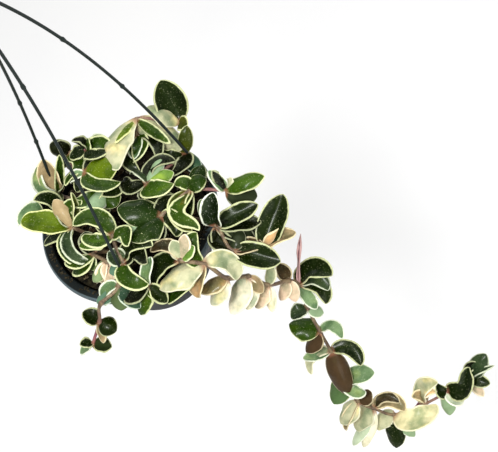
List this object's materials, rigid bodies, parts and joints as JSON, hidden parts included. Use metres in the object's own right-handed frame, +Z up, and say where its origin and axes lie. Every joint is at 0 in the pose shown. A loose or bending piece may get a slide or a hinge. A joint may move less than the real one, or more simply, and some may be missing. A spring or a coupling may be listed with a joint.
{
  "type": "hanging potted hoya plant",
  "caption": "Trailing rope hoya with curled, cream-edged leaves in a round plastic hanging pot with a three-strand hanger and hook.",
  "frame": {"origin": "inner top of the hook's bend, the point that hangs on a rail, nail or ceiling hook", "axes": "+Z up, along the pot's axis through the hook; +X to the right and slightly towards the vine's end, +Y away from the side that the vine hangs over"},
  "size_m": [0.2932, 0.3005, 0.6571],
  "materials": {
    "pot": "dark green-grey moulded plastic, soft satin sheen, scuffed at the rim",
    "soil": "moist dark potting mix with bark and pale specks",
    "hanger": "dark moulded plastic strands and hook",
    "stem": "woody brown stem with pink-purple young growth",
    "leaf": "thick waxy curled leaves, green with cream margins, some all cream"
  },
  "bodies": {
    "root": {"hook": "hanger", "hanger_strand_right": "hanger", "hanger_strand_left": "hanger", "hanger_strand_front": "hanger", "pot": "pot", "soil": "soil", "stem_back_left": "stem", "stem_back_middle": "stem", "stem_back_right": "stem", "stem_middle_right": "stem", "stem_middle": "stem", "stem_front_left": "stem", "stem_left": "stem", "stem_low_left": "stem", "stem_front_right": "stem", "stem_trailing": "stem", "leaves_back_left_01": "leaf", "leaves_back_left_02": "leaf", "leaves_back_left_03": "leaf", "leaves_back_middle_01": "leaf", "leaves_back_middle_02": "leaf", "leaves_back_right_01": "leaf", "leaves_back_right_02": "leaf", "leaves_back_right_03": "leaf", "leaves_middle_right_01": "leaf", "leaves_middle_right_02": "leaf", "leaves_middle_01": "leaf", "leaves_middle_02": "leaf", "leaves_middle_03": "leaf", "leaves_front_left_01": "leaf", "leaves_front_left_02": "leaf", "leaves_front_left_03": "leaf", "leaves_left_01": "leaf", "leaves_left_02": "leaf", "leaves_low_left_01": "leaf", "leaves_low_left_02": "leaf", "leaves_low_left_03": "leaf", "leaves_low_left_04": "leaf", "leaves_low_left_05": "leaf", "leaves_front_right_01": "leaf", "leaves_front_right_02": "leaf", "leaves_front_right_03": "leaf", "leaves_trailing_01": "leaf", "leaves_trailing_02": "leaf", "leaves_trailing_03": "leaf", "leaves_trailing_04": "leaf", "leaves_trailing_05": "leaf", "leaves_trailing_06": "leaf", "leaves_trailing_07": "leaf", "leaves_trailing_08": "leaf", "leaves_trailing_09": "leaf", "leaves_trailing_10": "leaf", "leaves_trailing_11": "leaf", "leaves_trailing_12": "leaf", "leaves_trailing_13": "leaf", "leaves_trailing_14": "leaf", "leaves_trailing_15": "leaf", "leaves_trailing_16": "leaf", "leaves_trailing_17": "leaf"}
  },
  "joints": []
}
